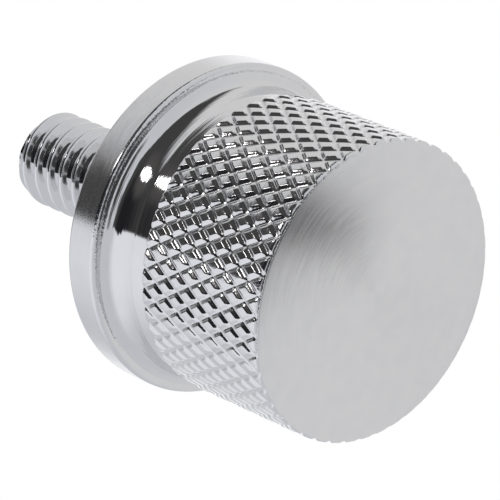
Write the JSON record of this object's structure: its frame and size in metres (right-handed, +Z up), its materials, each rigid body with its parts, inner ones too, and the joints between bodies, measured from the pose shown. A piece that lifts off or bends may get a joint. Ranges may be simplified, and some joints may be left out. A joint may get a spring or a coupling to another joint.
{
  "type": "knurled thumb screw",
  "caption": "Chrome-plated thumb screw: a diamond-knurled round head with a wide flange, a concave neck and a short right-hand threaded stud.",
  "frame": {"origin": "centre of the flange's flat seating face, where the threaded stud leaves the head", "axes": "+Y along the screw's axis towards the tip of the stud, -Y towards the flat face of the head, +Z up"},
  "size_m": [0.0212, 0.0309, 0.0212],
  "materials": {
    "head_chrome": "bright chrome plate, fine facing marks on the flat face and turned marks on the flange rim",
    "stud_chrome": "bright chrome plate over a rolled thread"
  },
  "bodies": {
    "root": {"knurled_head": "head_chrome", "threaded_stud": "stud_chrome"}
  },
  "joints": []
}
